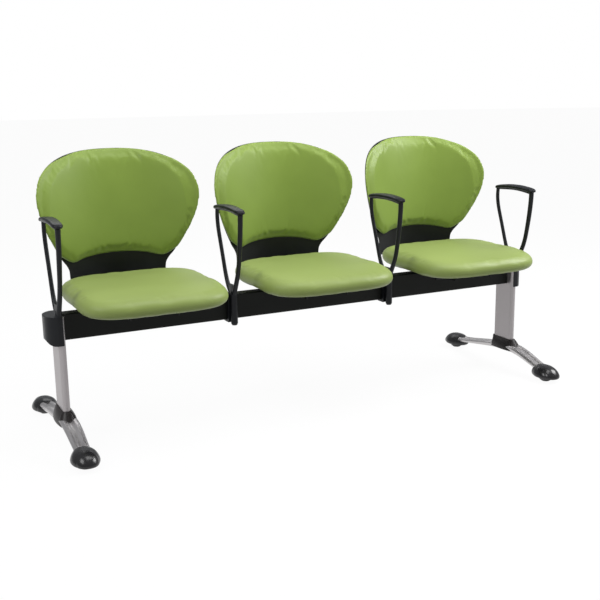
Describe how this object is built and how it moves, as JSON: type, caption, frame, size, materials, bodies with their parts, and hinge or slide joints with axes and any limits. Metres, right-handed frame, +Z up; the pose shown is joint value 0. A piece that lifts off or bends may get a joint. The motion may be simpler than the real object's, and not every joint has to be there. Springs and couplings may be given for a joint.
{
  "type": "beam seating",
  "caption": "Beam seating: padded seats and curved backs on one box beam, loop arms between the seats, and a column leg with a low base bar and levelling glides at each end.",
  "frame": {"origin": "on the floor under the middle of the bench", "axes": "+X along the beam to the sitter's left, -Y to the front where the sitters face, +Z up"},
  "size_m": [1.73, 0.6376, 0.85],
  "materials": {
    "beam_paint": "satin",
    "leg_satin": "satin",
    "base_polished": "polished",
    "plain_steel": "plain",
    "collar_plastic": "satin",
    "cap_plastic": "gloss",
    "glide_plastic": "matte",
    "arm_plastic": "satin",
    "shell_plastic": "satin",
    "seat_cover": "smooth, satin",
    "back_cover": "smooth, satin",
    "bracket_paint": "satin",
    "fastener_steel": "zinc plated"
  },
  "bodies": {
    "bench": {"arm_bolts": "fastener_steel", "arm_clamp_2": "arm_plastic", "arm_clamp_3": "arm_plastic", "arm_frame_1": "arm_plastic", "arm_frame_2": "arm_plastic", "arm_frame_3": "arm_plastic", "arm_frame_4": "arm_plastic", "arm_pad_1": "arm_plastic", "arm_pad_2": "arm_plastic", "arm_pad_3": "arm_plastic", "arm_pad_4": "arm_plastic", "arm_studs": "fastener_steel", "back_bolts": "fastener_steel", "back_pad_1": "back_cover", "back_pad_2": "back_cover", "back_pad_3": "back_cover", "back_shell_1": "shell_plastic", "back_shell_2": "shell_plastic", "back_shell_3": "shell_plastic", "back_support_1": "bracket_paint", "back_support_2": "bracket_paint", "back_support_3": "bracket_paint", "base_bar_left": "base_polished", "base_bar_right": "base_polished", "base_bolts": "fastener_steel", "beam": "beam_paint", "collar_left": "collar_plastic", "collar_right": "collar_plastic", "column_foot_block_left": "plain_steel", "column_foot_block_right": "plain_steel", "column_head_block_left": "plain_steel", "column_head_block_right": "plain_steel", "column_left": "leg_satin", "column_right": "leg_satin", "end_cover_left": "arm_plastic", "end_cover_right": "arm_plastic", "foot_cap_left_front": "cap_plastic", "foot_cap_left_rear": "cap_plastic", "foot_cap_right_front": "cap_plastic", "foot_cap_right_rear": "cap_plastic", "leg_bolts": "fastener_steel", "seat_bracket_1": "bracket_paint", "seat_bracket_2": "bracket_paint", "seat_bracket_3": "bracket_paint", "seat_bracket_bolts": "fastener_steel", "seat_bracket_nuts": "fastener_steel", "seat_cushion_1": "seat_cover", "seat_cushion_2": "seat_cover", "seat_cushion_3": "seat_cover", "seat_pan_1": "shell_plastic", "seat_pan_2": "shell_plastic", "seat_pan_3": "shell_plastic", "seat_pan_screws": "fastener_steel"},
    "left_front_glide": {"glide_left_front": "glide_plastic"},
    "left_rear_glide": {"glide_left_rear": "glide_plastic"},
    "right_front_glide": {"glide_right_front": "glide_plastic"},
    "right_rear_glide": {"glide_right_rear": "glide_plastic"}
  },
  "joints": [
    {"name": "left_front_level", "type": "slide", "parent": "bench", "child": "left_front_glide", "axis": [0, 0, 1], "range_m": [-0.01, 0.003]},
    {"name": "left_rear_level", "type": "slide", "parent": "bench", "child": "left_rear_glide", "axis": [0, 0, 1], "range_m": [-0.01, 0.003]},
    {"name": "right_front_level", "type": "slide", "parent": "bench", "child": "right_front_glide", "axis": [0, 0, 1], "range_m": [-0.01, 0.003]},
    {"name": "right_rear_level", "type": "slide", "parent": "bench", "child": "right_rear_glide", "axis": [0, 0, 1], "range_m": [-0.01, 0.003]}
  ]
}
